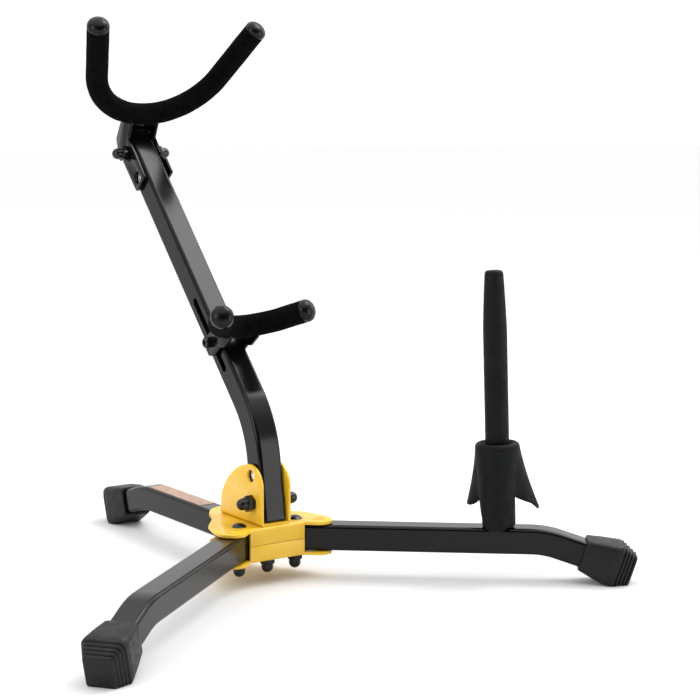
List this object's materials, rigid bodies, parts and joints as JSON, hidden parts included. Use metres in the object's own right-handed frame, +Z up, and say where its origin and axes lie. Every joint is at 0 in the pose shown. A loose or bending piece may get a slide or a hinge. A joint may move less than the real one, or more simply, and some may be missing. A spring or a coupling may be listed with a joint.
{
  "type": "saxophone stand",
  "caption": "Folding stand for a saxophone: three-legged base, bent upright with a foam bell yoke and a sliding body cradle, and an instrument peg on one leg.",
  "frame": {"origin": "floor point under the middle bolt of the hub", "axes": "+Z up; +Y along the fixed rear leg, away from the player's side; +X to the side of the leg with the instrument peg"},
  "size_m": [0.4212, 0.3803, 0.3821],
  "materials": {
    "yellow_paint": "satin",
    "black_powder_coat": "satin",
    "black_hardware": "gloss",
    "plain_steel": "satin",
    "black_nylon": "matte",
    "foot_rubber": "matte",
    "peg_rubber": "matte",
    "foam": "matte",
    "gloss_cap": "gloss",
    "button_chrome": "gloss",
    "label_print": "matte"
  },
  "bodies": {
    "base": {"hub_top_plate": "yellow_paint", "hub_bottom_plate": "yellow_paint", "clevis": "yellow_paint", "centre_bolt": "black_hardware", "leg_pivot_bolts": "black_hardware", "hub_nuts": "black_hardware", "leg_washers": "black_nylon", "leg_bushes": "plain_steel", "clevis_stud": "plain_steel", "clevis_nuts": "black_hardware", "rear_leg": "black_powder_coat", "rear_foot": "foot_rubber", "label_band": "label_print"},
    "left_leg": {"left_leg": "black_powder_coat", "left_foot": "foot_rubber"},
    "right_leg": {"right_leg": "black_powder_coat", "right_foot": "foot_rubber", "peg_stud": "plain_steel", "peg_stud_nut": "plain_steel"},
    "instrument_peg": {"peg_core": "plain_steel", "peg_shaft": "peg_rubber", "peg_skirt": "peg_rubber"},
    "upright": {"upright_tube": "black_powder_coat", "upright_bush": "plain_steel", "clevis_washers": "black_nylon", "top_plug": "black_nylon", "yoke_bush": "plain_steel", "yoke_washers": "black_nylon", "lower_leaf_spring": "plain_steel", "upper_leaf_spring": "plain_steel"},
    "lower_button": {"lower_snap_button": "button_chrome"},
    "upper_button": {"upper_snap_button": "button_chrome"},
    "bell_yoke": {"yoke_left_cheek": "black_powder_coat", "yoke_right_cheek": "black_powder_coat", "yoke_web": "black_powder_coat", "yoke_rod": "plain_steel", "yoke_foam": "foam", "yoke_caps": "gloss_cap", "yoke_stud": "plain_steel", "yoke_nuts": "black_hardware"},
    "body_cradle": {"cradle_left_cheek": "black_powder_coat", "cradle_right_cheek": "black_powder_coat", "cradle_rod": "plain_steel", "cradle_foam": "foam", "cradle_caps": "gloss_cap", "cradle_bolt": "black_hardware", "cradle_nut": "black_hardware", "cradle_washers": "black_nylon"}
  },
  "joints": [
    {"name": "upright_fold", "type": "hinge", "parent": "base", "child": "upright", "pos_m": [0, 0, 0.055], "axis": [-1, 0, 0], "range_deg": [0, 47]},
    {"name": "left_leg_fold", "type": "hinge", "parent": "base", "child": "left_leg", "pos_m": [-0.0225, 0, 0.0285], "axis": [0, 0, -1], "range_deg": [0, 125]},
    {"name": "right_leg_fold", "type": "hinge", "parent": "base", "child": "right_leg", "pos_m": [0.0225, 0, 0.0285], "axis": [0, 0, 1], "range_deg": [0, 125]},
    {"name": "peg_lift", "type": "slide", "parent": "right_leg", "child": "instrument_peg", "axis": [0.0286, -0.02, -0.9994], "range_m": [-0.03, 0]},
    {"name": "yoke_fold", "type": "hinge", "parent": "upright", "child": "bell_yoke", "pos_m": [0, 0.17426, 0.28605], "axis": [1, 0, 0], "range_deg": [0, 90]},
    {"name": "cradle_slide", "type": "slide", "parent": "upright", "child": "body_cradle", "axis": [0, -0.6794, -0.7337], "range_m": [-0.035, 0.02]},
    {"name": "lower_button_press", "type": "slide", "parent": "upright", "child": "lower_button", "axis": [1, 0, 0], "range_m": [0, 0.003], "stiffness_N_per_m": 600, "springref_m": -0.001, "deforming": ["lower_leaf_spring"]},
    {"name": "upper_button_press", "type": "slide", "parent": "upright", "child": "upper_button", "axis": [1, 0, 0], "range_m": [0, 0.003], "stiffness_N_per_m": 600, "springref_m": -0.001, "deforming": ["upper_leaf_spring"]}
  ]
}
